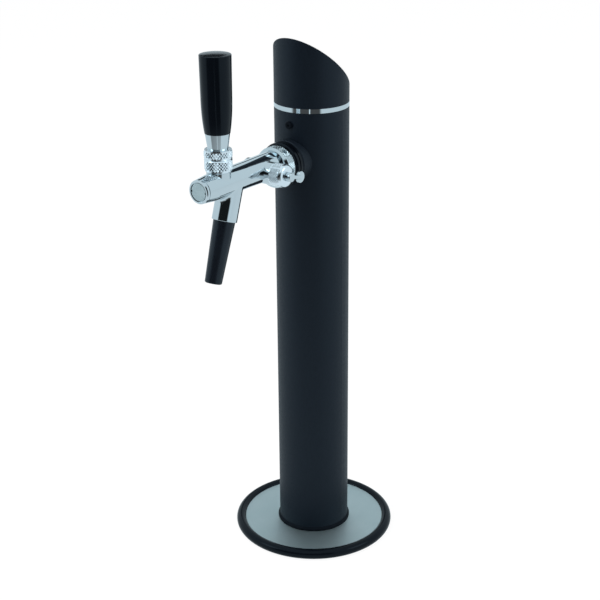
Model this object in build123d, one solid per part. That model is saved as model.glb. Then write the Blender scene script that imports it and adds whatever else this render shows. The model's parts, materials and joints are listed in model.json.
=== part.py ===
from build123d import *
import os
from math import atan2, cos, degrees, radians, sin, sqrt, tan

# Beer tower: a round black column on a disc base, with one flow-control tap.
# Millimetres. Z is up, the column's axis is the Z axis and the counter is z = 0.
# The tap points to -Y. "Reach" is a distance from the column's axis towards -Y.

# ---- Clearances -------------------------------------------------------------------
FIT = 0.05          # radial gap of pieces fixed in each other
RUN = 0.06          # radial gap of a running fit
FREE = 0.4          # gap between pieces that pass each other without touching
LAY = 0.02          # gap under a flat face that lies on another piece
PAST = 1.0          # how far a cut runs past the face it opens

# ---- Base -------------------------------------------------------------------------
GASKET_T = 4.5      # rubber mat under the plate, which stands the plate off the counter
GASKET_IN_R = 46.0
GASKET_LIP_GAP = 1.0
PLATE_R = 80.0
PLATE_T = 3.0
PASSAGE_R = 22.0    # way through for the beer line
BEAD_R = 5.5        # section radius of the rubber edge ring
BEAD_GRIP = 4.0     # how far the ring's groove reaches over the plate
BEAD_FLAT = 0.5     # depth cut off the bead where it rests
FOOT_H = 20.0       # aluminium foot inside the column
FOOT_EDGE = 1.0
FIXING_COUNT = 4
BASE_SCREW_R = 2.5
BASE_SCREW_L = 16.0
BASE_SCREW_HEAD_R = 4.6
BASE_SCREW_HEAD_H = 2.8
BASE_SCREW_KEY_R = 1.7
BASE_SCREW_KEY_DEPTH = 1.6
SCREW_EDGE_SHARE = 0.2      # bevel of a screw head, as a share of its height
COUNTER_BOLT_R = 3.4        # tapping bore for an M8 bolt from under the counter
COUNTER_BOLT_WAY_R = 4.5    # clearance in the plate for the same bolt
SEAL_RING_H = 4.0
SEAL_RING_T = 1.7

# ---- Column and cap ---------------------------------------------------------------
COLUMN_R = 38.0
COLUMN_WALL = 2.0
COLUMN_H = 472.2
TRIM_H = 4.5
TRIM_PROUD = 0.15
TRIM_SPIGOT_WALL = 2.5
TRIM_SPIGOT_DOWN = 22.0
TRIM_SPIGOT_UP = 12.0
CAP_LAND = 2.8      # height of the cap's wall at its low side
CAP_RISE = 66.5     # the slanted top climbs this much from back to front
CAP_WALL = 2.0
CAP_ROOF = 2.5
CAP_EDGE_R = 0.8
LOCK_SCREW_DROP = 13.0      # under the column's top edge
LOCK_SCREW_R = 2.0
LOCK_SCREW_HEAD_R = 3.8
LOCK_SCREW_HEAD_H = 2.0
LOCK_SCREW_KEY_R = 1.25
LOCK_SCREW_KEY_DEPTH = 1.2

# ---- Shank through the column -----------------------------------------------------
SHANK_DROP = 50.2   # shank axis under the column's top edge
SHANK_R = 11.4
SHANK_BORE_R = 4.0
SHANK_BOSS_R = 14.0
SHANK_BOSS_L = 6.0
SHANK_TAIL_R = 9.8
SHANK_TAIL_RUNOUT = 2.5     # turned-down tail beyond the union nut
SADDLE_R = 22.5
SADDLE_T = 6.4
SADDLE_EDGE = 1.0
COLLAR_R = 22.5
COLLAR_T = 9.8
COLLAR_GROOVE_W = 1.7
COLLAR_GROOVE_DEPTH = 1.3
COLLAR_EDGE = 1.1
INNER_SADDLE_R = 15.0
INNER_SADDLE_T = 5.0
LOCK_NUT_FLATS = 30.0
LOCK_NUT_T = 6.0
TAIL_SEAL_T = 1.5
ELBOW_R = 6.5
ELBOW_FLANGE_R = 9.6
ELBOW_FLANGE_T = 2.2
ELBOW_DROP = 24.0
ELBOW_SOCKET_L = 13.0
UNION_NUT_FLATS = 25.0
UNION_NUT_LIP_T = 3.0
UNION_NUT_GAP = 3.36        # between the union nut and the lock nut

# ---- Beer line --------------------------------------------------------------------
PIPE_R = 4.76
PIPE_WALL = 1.0
PIPE_TAIL_L = 21.0          # bare end that a connector is pushed on, up to the bead
PIPE_BEAD_R = 6.2
PIPE_BEAD_L = 2.0
GUIDE_T = 5.0
FOAM_R = 14.0
FOAM_TOP_GAP = 3.0

# ---- Tap: coupling ----------------------------------------------------------------
NUT_R = 20.7
NUT_W = 13.3
NUT_CHAMFER = 1.5
NUT_BEVEL = 2.4             # bevel of the front edge
NUT_HOLE_R = 2.2
NUT_HOLE_DEPTH = 3.5
NUT_HOLE_COUNT = 6
NUT_HOLE_START = 56.0       # degrees round from +X
SHANK_SEAL_T = 2.0
SHANK_SEAL_INSET = 1.0

# ---- Tap: body --------------------------------------------------------------------
TAP_REACH = 124.3   # from the collar's face to the front of the barrel
BARREL_RISE = 4.0   # barrel axis above the shank axis
BARREL_R = 13.0
BARREL_FRONT_R = 11.5
BARREL_TAPER_L = 17.0       # narrowing end of the barrel
BARREL_BORE_R = 7.5
BEZEL_GROOVE_BACK = 3.4
BEZEL_GROOVE_W = 0.7
BEZEL_GROOVE_DEPTH = 0.35
REAR_R = 13.7
TAIL_FLANGE_R = 13.8
TAIL_FLANGE_T = 2.6
TAIL_NECK_R = 11.6
TAIL_STEP_L = 4.0           # shoulder from the neck up to the rear body
TAIL_BORE_R = 5.0
REAR_TAPER_BACK = 64.0      # where the rear body has narrowed to the barrel, behind the front
LEVER_BACK = 30.2           # lever axis behind the front of the barrel
NECK_R = 11.7
NECK_RISE = 13.1            # neck top above the barrel axis
NECK_BORE_R = 8.6
NECK_THREAD_R = 10.4
NECK_THREAD_H = 4.0         # threaded part of the neck, inside the bonnet
NECK_LOW_BORE_R = 7.6       # room for the lever's tail
SPOUT_BACK = 48.8           # where the spout axis crosses the barrel axis
SPOUT_LEAN = 18.6           # degrees forward from straight down
SPOUT_L = 39.5
SPOUT_TOP_R = 12.4
SPOUT_END_R = 12.3
SPOUT_BLEND_R = 4.0         # hollow round where the spout leaves the barrel
SPOUT_EDGE = 0.6
OUTLET_R = 5.5
SEAT_T = 4.0
SEAT_BORE_R = 5.0
CHAMBER_R = 8.0
CHAMBER_L = 15.0
INLET_R = 7.5
CONE_SEAT_AHEAD = 3.0       # rear edge of the conical seat, in front of the flow spindle
CONE_SEAT_L = 7.5
CONE_SEAT_END_R = 5.8
THROAT_L = 3.0
BODY_EDGE_R = 0.8

# ---- Tap: front plug --------------------------------------------------------------
PLUG_R = 8.55
PLUG_SEAT_R = 9.4
PLUG_HEAD_T = 3.6
PLUG_SEAT_DEPTH = 4.0
PLUG_L = 6.0
PLUG_NOTCH_W = 1.6
PLUG_NOTCH_DEPTH = 1.1

# ---- Tap: valve -------------------------------------------------------------------
PISTON_GUIDE_L = 27.0
PISTON_FRONT_GAP = 0.8
PISTON_STEM_R = 2.6
VALVE_SEAL_R = 7.0
VALVE_SEAL_T = 3.0
VALVE_LIFT_GAP = 0.3        # closed valve: seal to seat
SEAL_NUT_R = 5.6
SEAL_NUT_T = 3.0
RING_SECTION_R = 0.8        # O-ring section radius
PISTON_RING_STEPS = (4.0, 10.0, 25.0)   # groove centres behind the piston's front end

# ---- Tap: lever -------------------------------------------------------------------
PIVOT_RISE = 15.8           # lever pivot above the barrel axis
PULL = 26.0                 # degrees the handle comes forward
BALL_R = 6.5
STEM_R = 4.0
TAIL_R = 2.6
TAIL_BALL_R = 3.2
TAIL_GAP = 0.45
POCKET_DEEPER = 1.0         # floor of the tail ball's pocket under its walls' clearance
BALL_SEAT_LOW = 4.5         # underside of the ball seat below the pivot
BALL_SEAT_T = 2.5
BALL_SEAT_BORE_R = 5.4
BONNET_R = 13.4
BONNET_BAND_RISE = 8.8      # top edge of the bonnet's band above the pivot
BONNET_TAPER_H = 1.7
RING_R = 13.6               # lever collar
RING_LIFT = 1.6             # gap between the bonnet's band and the collar
RING_H = 8.3
RING_EDGE = 0.8
FERRULE_H = 15.4
FERRULE_LOW_R = 9.65
FERRULE_TOP_R = 11.9
FERRULE_STUD_R = 6.5
FERRULE_STUD_L = 16.0
STEM_GRIP_L = 19.0          # stem above the collar
GRIP_H = 74.1
GRIP_LOW_R = 12.15
GRIP_WAIST_H = 31.6
GRIP_MID_R = 14.65
GRIP_TOP_R = 15.05
GRIP_EDGE_R = 0.8
GRIP_LOW_SPREAD = 0.16      # outward run of the grip's side per unit of height, at its foot
GRIP_HIGH_SPREAD = 0.008    # and from the waist up

# ---- Tap: nozzle ------------------------------------------------------------------
NOZZLE_L = 60.8
NOZZLE_TOP_R = 10.65
NOZZLE_TIP_R = 8.4
NOZZLE_BORE_R = 4.6
NOZZLE_MOUTH_R = 5.4
NOZZLE_MOUTH_L = 14.0
NOZZLE_SPIGOT_R = 7.6
NOZZLE_SPIGOT_L = 14.0
NOZZLE_EDGE = 0.8

# ---- Tap: flow control ------------------------------------------------------------
FLOW_AHEAD = 31.8           # spindle axis in front of the collar's face
FLOW_DROP = 2.1             # spindle axis under the barrel axis
BOSS_R = 11.2
BOSS_OUT = 18.0             # near end of the cross boss, from the body's middle plane
BOSS_FAR = 15.4             # far end
BOSS_NECK_R = 8.5
BOSS_NECK_L = 9.4
GLAND_R = 11.5
GLAND_L = 15.5
GLAND_FACE_T = 5.6
GLAND_DOME_R = 4.0
JOURNAL_R = 6.0
JOURNAL_IN = 8.2            # inner end of the spindle, from the body's middle plane
SPINDLE_R = 3.0
CRANK = 3.0                 # offset of the crank pin from the spindle's axis
CRANK_PIN_R = 1.2
CRANK_PIN_L = 3.4
CRANK_STRAY = 0.21          # largest lead of the pin over an even slide, per unit of crank
SPINDLE_RING_IN = 5.0       # O-ring behind the journal's outer end
KNOB_HUB_R = 4.5
KNOB_HUB_H = 5.4
KNOB_ROD_R = 2.4
KNOB_ARM = 16.4
KNOB_PAD_R = 5.8
KNOB_PAD_T = 2.6
KNOB_EDGE_R = 0.8
KNOB_CAP_T = 1.0            # closed end of the hub, outside the spindle
KNOB_DROP = 13.0            # degrees under level at rest
CONE_GUIDE_L = 6.0
CONE_ROOM = 1.2             # end of the inlet bore behind the guide at its rearmost
CONE_STEM_R = 3.0
CONE_NOSE_L = 8.0
CONE_GAP = 1.1              # between the cone and its seat at rest
CONE_FLUTE_R = 1.6
CONE_FLUTES = 6

# ---- Places worked out from the sizes ---------------------------------------------
PLATE_LOW = GASKET_T
PLATE_TOP = PLATE_LOW + PLATE_T
BEAD_MID_R = PLATE_R - BEAD_GRIP + BEAD_R
BEAD_MID_Z = BEAD_R - BEAD_FLAT
TUBE_IN_R = COLUMN_R - COLUMN_WALL
FOOT_TOP = PLATE_TOP + FOOT_H
FIXING_R = (PASSAGE_R + TUBE_IN_R) / 2      # base screws and counter bolts, midway in the foot's wall
COLUMN_TOP = PLATE_TOP + COLUMN_H
TRIM_TOP = COLUMN_TOP + TRIM_H
CAP_LOW = TRIM_TOP + CAP_LAND
CAP_SLOPE = atan2(CAP_RISE, 2 * COLUMN_R)
LOCK_SCREW_Z = COLUMN_TOP - LOCK_SCREW_DROP
SHANK_Z = COLUMN_TOP - SHANK_DROP
SADDLE_REACH = COLUMN_R + SADDLE_T
COLLAR_REACH = SADDLE_REACH + COLLAR_T
BOSS_REACH = COLLAR_REACH + SHANK_BOSS_L
TAIL_REACH = BOSS_REACH + SHANK_SEAL_T
FLANGE_REACH = TAIL_REACH + TAIL_FLANGE_T
NUT_REAR_REACH = COLLAR_REACH + LAY
NUT_FRONT_REACH = NUT_REAR_REACH + NUT_W
INNER_SADDLE_REACH = TUBE_IN_R - INNER_SADDLE_T
ELBOW_FLANGE_REACH = ELBOW_R + FREE + UNION_NUT_LIP_T + LAY
ELBOW_END_REACH = ELBOW_FLANGE_REACH + ELBOW_FLANGE_T
SHANK_END_REACH = ELBOW_END_REACH + TAIL_SEAL_T
LOCK_NUT_REACH = INNER_SADDLE_REACH - LAY - LOCK_NUT_T
UNION_NUT_REACH = LOCK_NUT_REACH - UNION_NUT_GAP
FRONT_REACH = COLLAR_REACH + TAP_REACH
BARREL_Z = SHANK_Z + BARREL_RISE
SHOULDER_REACH = NUT_FRONT_REACH + FREE
REAR_REACH = SHOULDER_REACH + TAIL_STEP_L
LEVER_REACH = FRONT_REACH - LEVER_BACK
SPOUT_REACH = FRONT_REACH - SPOUT_BACK
PIVOT_Z = BARREL_Z + PIVOT_RISE
NECK_TOP = BARREL_Z + NECK_RISE
BAND_TOP = PIVOT_Z + BONNET_BAND_RISE
DOME_R = sqrt(BONNET_R ** 2 + BONNET_BAND_RISE ** 2)
RING_LOW = BAND_TOP + RING_LIFT
RING_TOP = RING_LOW + RING_H
FERRULE_TOP = RING_TOP + FERRULE_H
FLOW_REACH = COLLAR_REACH + FLOW_AHEAD
FLOW_Z = BARREL_Z - FLOW_DROP
CRANK_GROOVE_HALF = CRANK_PIN_R + CRANK * CRANK_STRAY + FREE
CONE_REAR_REACH = FLOW_REACH - CRANK_GROOVE_HALF - CONE_GUIDE_L
INLET_REACH = CONE_REAR_REACH - CRANK - CONE_ROOM
CONE_SEAT_REACH = FLOW_REACH + CONE_SEAT_AHEAD
THROAT_REACH = CONE_SEAT_REACH + CONE_SEAT_L
CHAMBER_REACH = THROAT_REACH + THROAT_L
SEAT_REAR_REACH = CHAMBER_REACH + CHAMBER_L
SEAT_REACH = SEAT_REAR_REACH + SEAT_T
GLAND_END = BOSS_OUT + LAY + GLAND_L
PISTON_FRONT_REACH = FRONT_REACH - PLUG_SEAT_DEPTH - PLUG_L - PISTON_FRONT_GAP
PISTON_R = BARREL_BORE_R - RUN
VALVE_SEAL_REACH = SEAT_REAR_REACH - VALVE_LIFT_GAP


# ---- Helpers ----------------------------------------------------------------------
def turned(outline):
    """Solid of revolution about the local Z axis, from a closed (radius, height) outline."""
    return revolve(Plane.XZ * make_face(Polyline(*outline, close=True)), Axis.Z)


def collar(outer_r, inner_r, low, high):
    """Plain ring between two heights."""
    return turned([(inner_r, low), (outer_r, low), (outer_r, high), (inner_r, high)])


def rod(radius, low, high):
    """Plain round bar between two heights."""
    return Pos(0, 0, low) * Cylinder(radius, high - low, align=(Align.CENTER, Align.CENTER, Align.MIN))


def o_ring(outer_r):
    """Round-section ring that fits inside a bore of about outer_r."""
    return Torus(outer_r - RING_SECTION_R, RING_SECTION_R)


def forward(height):
    """Frame whose local Z runs forward (-Y) from the column's axis, at a height."""
    return Plane(origin=(0, 0, height), x_dir=(1, 0, 0), z_dir=(0, -1, 0))


def sideways(reach, height):
    """Frame whose local Z runs to +X and local X runs back (+Y)."""
    return Plane(origin=(0, -reach, height), x_dir=(0, 1, 0), z_dir=(1, 0, 0))


def spout_frame():
    """Frame whose local Z runs down the spout, from the barrel's axis."""
    lean = radians(SPOUT_LEAN)
    return Plane(origin=(0, -SPOUT_REACH, BARREL_Z), x_dir=(1, 0, 0), z_dir=(0, -sin(lean), -cos(lean)))


def fixing_spots(start):
    """Places on the fixing circle, evenly spaced from a start angle."""
    return PolarLocations(FIXING_R, FIXING_COUNT, start_angle=start)


def socket_screw(shank_r, length, head_r, head_h, key_r, key_depth):
    """Screw along local Z: shank below zero, head above it, hexagon socket on top."""
    head = chamfer(rod(head_r, 0, head_h).edges().group_by(Axis.Z)[-1], head_h * SCREW_EDGE_SHARE)
    key = Pos(0, 0, head_h - key_depth) * extrude(RegularPolygon(key_r, 6), key_depth + PAST)
    return head + rod(shank_r, -length, 0) - key


def hexagon_nut(flats, low, high, bore_r):
    """Hexagon nut along local Z with chamfered corners."""
    corner_r = flats / sqrt(3)
    cut = corner_r - flats / 2
    blank = Pos(0, 0, low) * extrude(RegularPolygon(flats / 2, 6, major_radius=False), high - low)
    rounded = turned([
        (0, low), (flats / 2, low), (corner_r, low + cut / 2),
        (corner_r, high - cut / 2), (flats / 2, high), (0, high),
    ])
    return (blank & rounded) - rod(bore_r, low - PAST, high + PAST)


# ---- Base -------------------------------------------------------------------------
def base_gasket():
    outer_r = PLATE_R - BEAD_GRIP - GASKET_LIP_GAP
    return collar(outer_r, GASKET_IN_R, 0, GASKET_T)


def base_plate():
    plate = collar(PLATE_R, PASSAGE_R, PLATE_LOW, PLATE_TOP)
    for spot in fixing_spots(0):
        plate -= spot * rod(COUNTER_BOLT_WAY_R, 0, PLATE_TOP + PAST)
    for spot in fixing_spots(180 / FIXING_COUNT):
        plate -= spot * rod(BASE_SCREW_R + FIT, 0, PLATE_TOP + PAST)
    return plate


def base_edge_ring():
    bead = Torus(BEAD_MID_R, BEAD_R)
    bead = Pos(0, 0, BEAD_MID_Z) * bead - rod(2 * BEAD_MID_R, -2 * BEAD_R, 0)
    groove = rod(PLATE_R + FIT, PLATE_LOW - FIT, PLATE_TOP + FIT)
    return bead - groove


def foot_flange():
    foot = collar(TUBE_IN_R - FIT, PASSAGE_R, PLATE_TOP, FOOT_TOP)
    foot = chamfer(foot.edges().group_by(Axis.Z)[-1], FOOT_EDGE)
    for spot in fixing_spots(0):
        foot -= spot * rod(COUNTER_BOLT_R, 0, FOOT_TOP + PAST)
    for spot in fixing_spots(180 / FIXING_COUNT):
        foot -= spot * rod(BASE_SCREW_R + FIT, 0, PLATE_LOW + BASE_SCREW_L + PAST)
    return foot


def base_screws():
    screw = socket_screw(
        BASE_SCREW_R, BASE_SCREW_L, BASE_SCREW_HEAD_R,
        BASE_SCREW_HEAD_H, BASE_SCREW_KEY_R, BASE_SCREW_KEY_DEPTH,
    )
    upright = Pos(0, 0, PLATE_LOW) * Rot(180, 0, 0) * screw
    return Compound(children=[spot * upright for spot in fixing_spots(180 / FIXING_COUNT)])


def column_foot_seal():
    inner_r = COLUMN_R + FIT
    outer_r = inner_r + SEAL_RING_T
    return turned([
        (inner_r, PLATE_TOP), (outer_r, PLATE_TOP),
        (outer_r, PLATE_TOP + SEAL_RING_H / 2), (inner_r, PLATE_TOP + SEAL_RING_H),
    ])


# ---- Column -----------------------------------------------------------------------
def column_tube():
    tube = collar(COLUMN_R, TUBE_IN_R, PLATE_TOP, COLUMN_TOP)
    tube -= forward(SHANK_Z) * rod(SHANK_R + FIT, 0, 2 * COLUMN_R)
    return tube - forward(LOCK_SCREW_Z) * rod(LOCK_SCREW_R + FIT, 0, 2 * COLUMN_R)


def under_slant(drop):
    """Everything under the slanted top, lowered by a distance measured square to it."""
    side = 8 * COLUMN_R
    low_side = Pos(0, COLUMN_R, CAP_LOW) * Rot(-degrees(CAP_SLOPE), 0, 0)
    return low_side * Pos(0, 0, -drop) * Box(side, side, side, align=(Align.CENTER, Align.CENTER, Align.MAX))


def slanted_cap():
    outside = rod(COLUMN_R, TRIM_TOP, CAP_LOW + CAP_RISE) & under_slant(0)
    outside = fillet(outside.edges().filter_by(GeomType.ELLIPSE), CAP_EDGE_R)
    inside = rod(COLUMN_R - CAP_WALL, TRIM_TOP - PAST, CAP_LOW + CAP_RISE) & under_slant(CAP_ROOF)
    return outside - inside


def trim_ring():
    spigot_r = TUBE_IN_R - FIT
    upper_r = COLUMN_R - CAP_WALL - FIT
    bore_r = min(spigot_r, upper_r) - TRIM_SPIGOT_WALL
    band_r = COLUMN_R + TRIM_PROUD
    ring = turned([
        (bore_r, COLUMN_TOP - TRIM_SPIGOT_DOWN), (spigot_r, COLUMN_TOP - TRIM_SPIGOT_DOWN),
        (spigot_r, COLUMN_TOP), (band_r, COLUMN_TOP), (band_r, TRIM_TOP),
        (upper_r, TRIM_TOP), (upper_r, TRIM_TOP + TRIM_SPIGOT_UP), (bore_r, TRIM_TOP + TRIM_SPIGOT_UP),
    ])
    ring = ring & under_slant(CAP_ROOF + FIT)
    return ring - forward(LOCK_SCREW_Z) * rod(LOCK_SCREW_R + FIT, 0, COLUMN_R)


def cap_lock_screw():
    screw = socket_screw(
        LOCK_SCREW_R, COLUMN_WALL + TRIM_SPIGOT_WALL, LOCK_SCREW_HEAD_R,
        LOCK_SCREW_HEAD_H, LOCK_SCREW_KEY_R, LOCK_SCREW_KEY_DEPTH,
    )
    return forward(LOCK_SCREW_Z) * Pos(0, 0, COLUMN_R + LAY) * screw


# ---- Shank and what clamps it -----------------------------------------------------
def shank_saddle():
    ring = collar(SADDLE_R, SHANK_R + FIT, COLUMN_R / 2, SADDLE_REACH)
    ring = chamfer(ring.edges().group_by(Axis.Z)[-1].sort_by(SortBy.RADIUS)[-1], SADDLE_EDGE)
    return forward(SHANK_Z) * ring - rod(COLUMN_R + FIT, 0, COLUMN_TOP)


def shank_collar():
    low = SADDLE_REACH + LAY
    mid = (low + COLLAR_REACH) / 2
    floor_r = COLLAR_R - COLLAR_GROOVE_DEPTH
    bore_r = SHANK_R + FIT
    return forward(SHANK_Z) * turned([
        (bore_r, low), (COLLAR_R - COLLAR_EDGE, low), (COLLAR_R, low + COLLAR_EDGE),
        (COLLAR_R, mid - COLLAR_GROOVE_W / 2), (floor_r, mid - COLLAR_GROOVE_W / 4),
        (floor_r, mid + COLLAR_GROOVE_W / 4), (COLLAR_R, mid + COLLAR_GROOVE_W / 2),
        (COLLAR_R, COLLAR_REACH - COLLAR_EDGE), (COLLAR_R - COLLAR_EDGE, COLLAR_REACH),
        (bore_r, COLLAR_REACH),
    ])


def shank():
    tail_end = UNION_NUT_REACH + SHANK_TAIL_RUNOUT
    return forward(SHANK_Z) * turned([
        (SHANK_BORE_R, SHANK_END_REACH), (SHANK_TAIL_R, SHANK_END_REACH), (SHANK_TAIL_R, tail_end),
        (SHANK_R, tail_end), (SHANK_R, COLLAR_REACH + LAY), (SHANK_BOSS_R, COLLAR_REACH + LAY),
        (SHANK_BOSS_R, BOSS_REACH), (SHANK_BORE_R, BOSS_REACH),
    ])


def inner_saddle_washer():
    ring = collar(INNER_SADDLE_R, SHANK_R + FIT, INNER_SADDLE_REACH, COLUMN_R)
    return forward(SHANK_Z) * ring & rod(TUBE_IN_R - FIT, 0, COLUMN_TOP)


def shank_lock_nut():
    high = LOCK_NUT_REACH + LOCK_NUT_T
    return forward(SHANK_Z) * hexagon_nut(LOCK_NUT_FLATS, LOCK_NUT_REACH, high, SHANK_R + FIT)


def tail_seal():
    return forward(SHANK_Z) * collar(SHANK_TAIL_R - FIT, SHANK_BORE_R, ELBOW_END_REACH, SHANK_END_REACH)


def tail_elbow():
    level = rod(ELBOW_R, 0, ELBOW_END_REACH) + rod(ELBOW_FLANGE_R, ELBOW_FLANGE_REACH, ELBOW_END_REACH)
    body = forward(SHANK_Z) * level + Pos(0, 0, SHANK_Z) * Sphere(ELBOW_R)
    body += rod(ELBOW_R, SHANK_Z - ELBOW_DROP, SHANK_Z)
    body -= forward(SHANK_Z) * rod(SHANK_BORE_R, 0, ELBOW_END_REACH + PAST)
    body -= rod(SHANK_BORE_R, SHANK_Z - ELBOW_DROP, SHANK_Z) + Pos(0, 0, SHANK_Z) * Sphere(SHANK_BORE_R)
    low = SHANK_Z - ELBOW_DROP
    return body - rod(PIPE_R + FIT, low - PAST, low + ELBOW_SOCKET_L)


def tail_union_nut():
    lip_high = ELBOW_FLANGE_REACH - LAY
    low = lip_high - UNION_NUT_LIP_T
    nut = hexagon_nut(UNION_NUT_FLATS, low, UNION_NUT_REACH, ELBOW_R + FIT)
    return forward(SHANK_Z) * (nut - rod(SHANK_TAIL_R + FIT, lip_high, UNION_NUT_REACH + PAST))


# ---- Beer line inside the column --------------------------------------------------
def riser_pipe():
    top = SHANK_Z - ELBOW_DROP + ELBOW_SOCKET_L - LAY
    bead_mid = PIPE_TAIL_L + PIPE_BEAD_L / 2
    bore_r = PIPE_R - PIPE_WALL
    return turned([
        (bore_r, 0), (PIPE_R, 0), (PIPE_R, PIPE_TAIL_L), (PIPE_BEAD_R, bead_mid),
        (PIPE_R, PIPE_TAIL_L + PIPE_BEAD_L), (PIPE_R, top), (bore_r, top),
    ])


def pipe_guide():
    return collar(TUBE_IN_R - FIT, PIPE_R + FIT, FOOT_TOP + LAY, FOOT_TOP + LAY + GUIDE_T)


def insulation_sleeve():
    low = FOOT_TOP + 2 * LAY + GUIDE_T
    return collar(FOAM_R, PIPE_R + FIT, low, SHANK_Z - ELBOW_DROP - FOAM_TOP_GAP)


# ---- Tap coupling -----------------------------------------------------------------
def coupling_nut():
    low, high = NUT_REAR_REACH, NUT_FRONT_REACH
    nut = turned([
        (SHANK_BOSS_R + FIT, low), (NUT_R - NUT_CHAMFER, low), (NUT_R, low + NUT_CHAMFER),
        (NUT_R, high - NUT_BEVEL), (NUT_R - NUT_BEVEL, high),
        (TAIL_NECK_R + FIT, high), (TAIL_NECK_R + FIT, FLANGE_REACH + LAY),
        (SHANK_BOSS_R + FIT, FLANGE_REACH + LAY),
    ])
    hole = rod(NUT_HOLE_R, NUT_R - NUT_HOLE_DEPTH, NUT_R + PAST)
    drill = Pos(0, 0, (low + high) / 2) * Rot(0, 90, 0) * hole
    for number in range(NUT_HOLE_COUNT):
        nut -= Rot(0, 0, NUT_HOLE_START + number * 360 / NUT_HOLE_COUNT) * drill
    return forward(SHANK_Z) * nut


def shank_seal():
    outer_r = SHANK_BOSS_R - SHANK_SEAL_INSET
    return forward(SHANK_Z) * collar(outer_r, SHANK_BORE_R, BOSS_REACH, TAIL_REACH)


# ---- Tap body ---------------------------------------------------------------------
def tail():
    """Flange and neck for the coupling nut, and a shoulder up to the rear of the barrel."""
    flanged = forward(SHANK_Z) * turned([
        (0, TAIL_REACH), (TAIL_FLANGE_R, TAIL_REACH), (TAIL_FLANGE_R, FLANGE_REACH),
        (TAIL_NECK_R, FLANGE_REACH), (TAIL_NECK_R, SHOULDER_REACH), (0, SHOULDER_REACH),
    ])
    sections = [
        forward(SHANK_Z).offset(SHOULDER_REACH) * Circle(TAIL_NECK_R),
        forward(BARREL_Z).offset(REAR_REACH) * Circle(REAR_R),
    ]
    return flanged + loft(sections)


def barrel_and_spout():
    """Turned barrel with a leaning spout, rounded hollow where they meet."""
    barrel = forward(BARREL_Z) * turned([
        (0, REAR_REACH), (REAR_R, REAR_REACH), (BARREL_R, FRONT_REACH - REAR_TAPER_BACK),
        (BARREL_R, FRONT_REACH - BARREL_TAPER_L), (BARREL_FRONT_R, FRONT_REACH - BODY_EDGE_R),
        (BARREL_FRONT_R - BODY_EDGE_R, FRONT_REACH), (0, FRONT_REACH),
    ])
    spout = spout_frame() * Cone(
        SPOUT_TOP_R, SPOUT_END_R, SPOUT_L, align=(Align.CENTER, Align.CENTER, Align.MIN))
    spout = fillet(spout.edges().group_by(Axis.Z)[0], SPOUT_EDGE)
    joined = barrel + spout
    return fillet(new_edges(barrel, spout, combined=joined), SPOUT_BLEND_R)


def tap_outside():
    neck = rod(NECK_R, BARREL_Z, NECK_TOP) + rod(NECK_THREAD_R, NECK_TOP, NECK_TOP + NECK_THREAD_H)
    neck = Pos(0, -LEVER_REACH, 0) * neck
    boss = rod(BOSS_R, -BOSS_FAR, BOSS_OUT)
    boss = fillet(boss.edges().group_by(Axis.Z)[0], BODY_EDGE_R)
    boss += rod(BOSS_NECK_R, BOSS_OUT, BOSS_OUT + BOSS_NECK_L)
    return barrel_and_spout() + tail() + neck + sideways(FLOW_REACH, FLOW_Z) * boss


def tap_body():
    body = tap_outside()
    body -= forward(BARREL_Z) * turned([
        (0, SEAT_REACH), (BARREL_BORE_R, SEAT_REACH), (BARREL_BORE_R, FRONT_REACH - PLUG_SEAT_DEPTH),
        (PLUG_SEAT_R, FRONT_REACH - PLUG_SEAT_DEPTH), (PLUG_SEAT_R, FRONT_REACH + PAST),
        (0, FRONT_REACH + PAST),
    ])
    body -= forward(BARREL_Z) * rod(SEAT_BORE_R, CHAMBER_REACH, SEAT_REACH)
    body -= forward(BARREL_Z) * rod(CHAMBER_R, CHAMBER_REACH, SEAT_REAR_REACH)
    body -= forward(SHANK_Z) * rod(TAIL_BORE_R, TAIL_REACH - PAST, INLET_REACH + PAST)
    body -= forward(FLOW_Z) * turned([
        (0, INLET_REACH), (INLET_R, INLET_REACH), (INLET_R, CONE_SEAT_REACH),
        (CONE_SEAT_END_R, THROAT_REACH), (CONE_SEAT_END_R, CHAMBER_REACH + PAST), (0, CHAMBER_REACH + PAST),
    ])
    body -= spout_frame() * rod(OUTLET_R, 0, SPOUT_L)
    body -= spout_frame() * rod(NOZZLE_SPIGOT_R + FIT, SPOUT_L - NOZZLE_SPIGOT_L - LAY, SPOUT_L + PAST)
    thread_top = NECK_TOP + NECK_THREAD_H
    body -= Pos(0, -LEVER_REACH, 0) * rod(NECK_BORE_R, PIVOT_Z - BALL_SEAT_LOW, thread_top + PAST)
    body -= Pos(0, -LEVER_REACH, 0) * rod(NECK_LOW_BORE_R, BARREL_Z, NECK_TOP)
    body -= sideways(FLOW_REACH, FLOW_Z) * rod(JOURNAL_R, 0, BOSS_OUT + BOSS_NECK_L + PAST)
    taper = (BARREL_R - BARREL_FRONT_R) / (BARREL_TAPER_L - BODY_EDGE_R)
    groove_r = BARREL_FRONT_R + taper * (BEZEL_GROOVE_BACK - BODY_EDGE_R) - BEZEL_GROOVE_DEPTH
    groove_at = FRONT_REACH - BEZEL_GROOVE_BACK
    body -= forward(BARREL_Z) * collar(
        BARREL_R + PAST, groove_r, groove_at - BEZEL_GROOVE_W / 2, groove_at + BEZEL_GROOVE_W / 2)
    return body


def front_plug():
    low = FRONT_REACH - PLUG_SEAT_DEPTH
    plug = rod(PLUG_R, low + LAY, low + PLUG_HEAD_T) + rod(BARREL_BORE_R - FIT, low - PLUG_L, low + LAY)
    for side in (-1, 1):
        plug -= Pos(side * PLUG_R, 0, low + PLUG_HEAD_T) * Box(
            2 * PLUG_NOTCH_DEPTH, PLUG_NOTCH_W, 2 * PLUG_NOTCH_DEPTH)
    plug -= Pos(0, 0, low - PLUG_L / 2) * ring_groove(BARREL_BORE_R)
    return forward(BARREL_Z) * plug


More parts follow.
